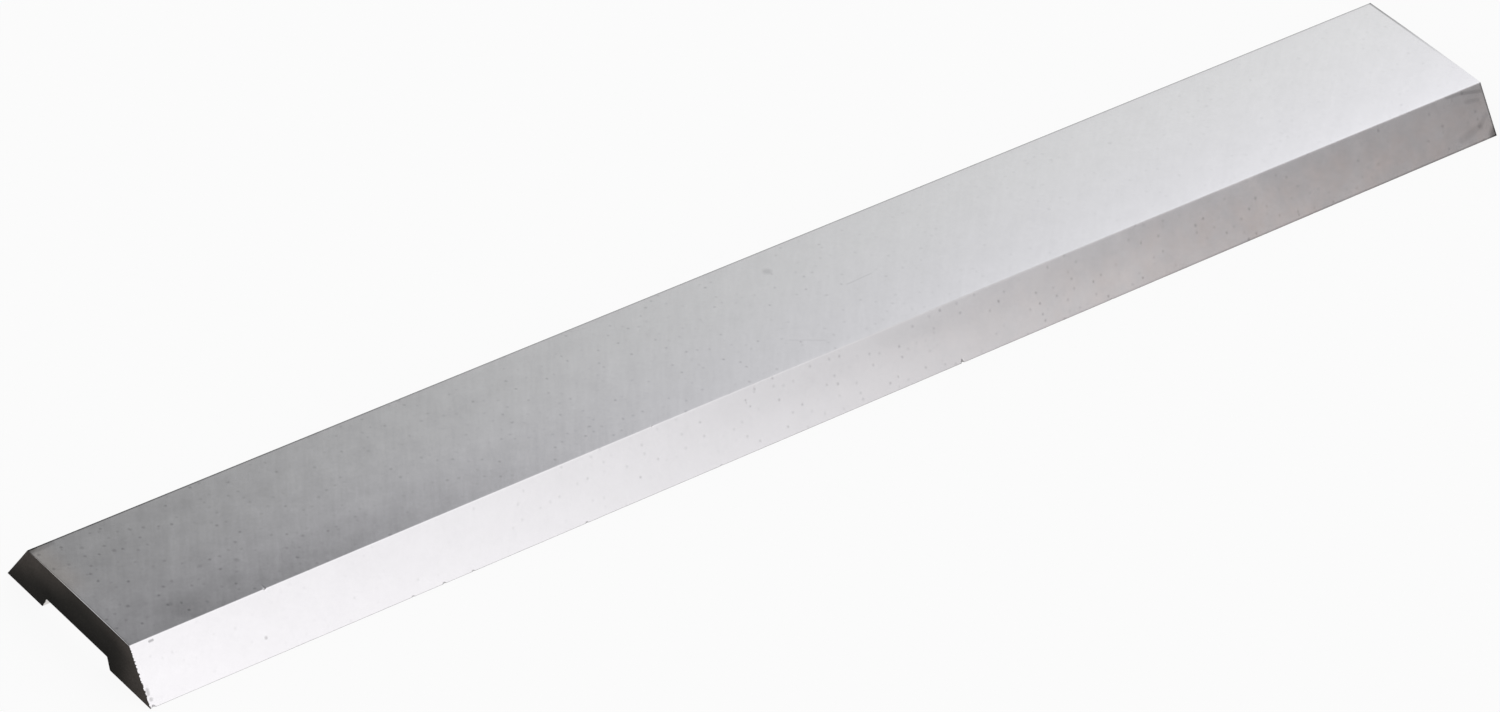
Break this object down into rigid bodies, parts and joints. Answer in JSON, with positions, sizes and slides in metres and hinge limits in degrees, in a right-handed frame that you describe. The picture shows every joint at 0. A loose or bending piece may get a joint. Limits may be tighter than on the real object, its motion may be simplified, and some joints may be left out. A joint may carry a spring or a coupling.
{
  "type": "carbide scraper blade",
  "caption": "Two-edged scraper blade: a flat cemented carbide bar with bevelled long sides and a shallow locating groove along its flat face.",
  "frame": {"origin": "middle of the flat, grooved face, halfway along the blade and halfway between the two cutting edges", "axes": "+X along the blade and both cutting edges, +Y across it, +Z out of the narrower upper face; the blade lies on its flat face"},
  "size_m": [0.05, 0.0072, 0.0015],
  "materials": {
    "ground_carbide": "satin"
  },
  "bodies": {
    "root": {"scraper_blade": "ground_carbide"}
  },
  "joints": []
}
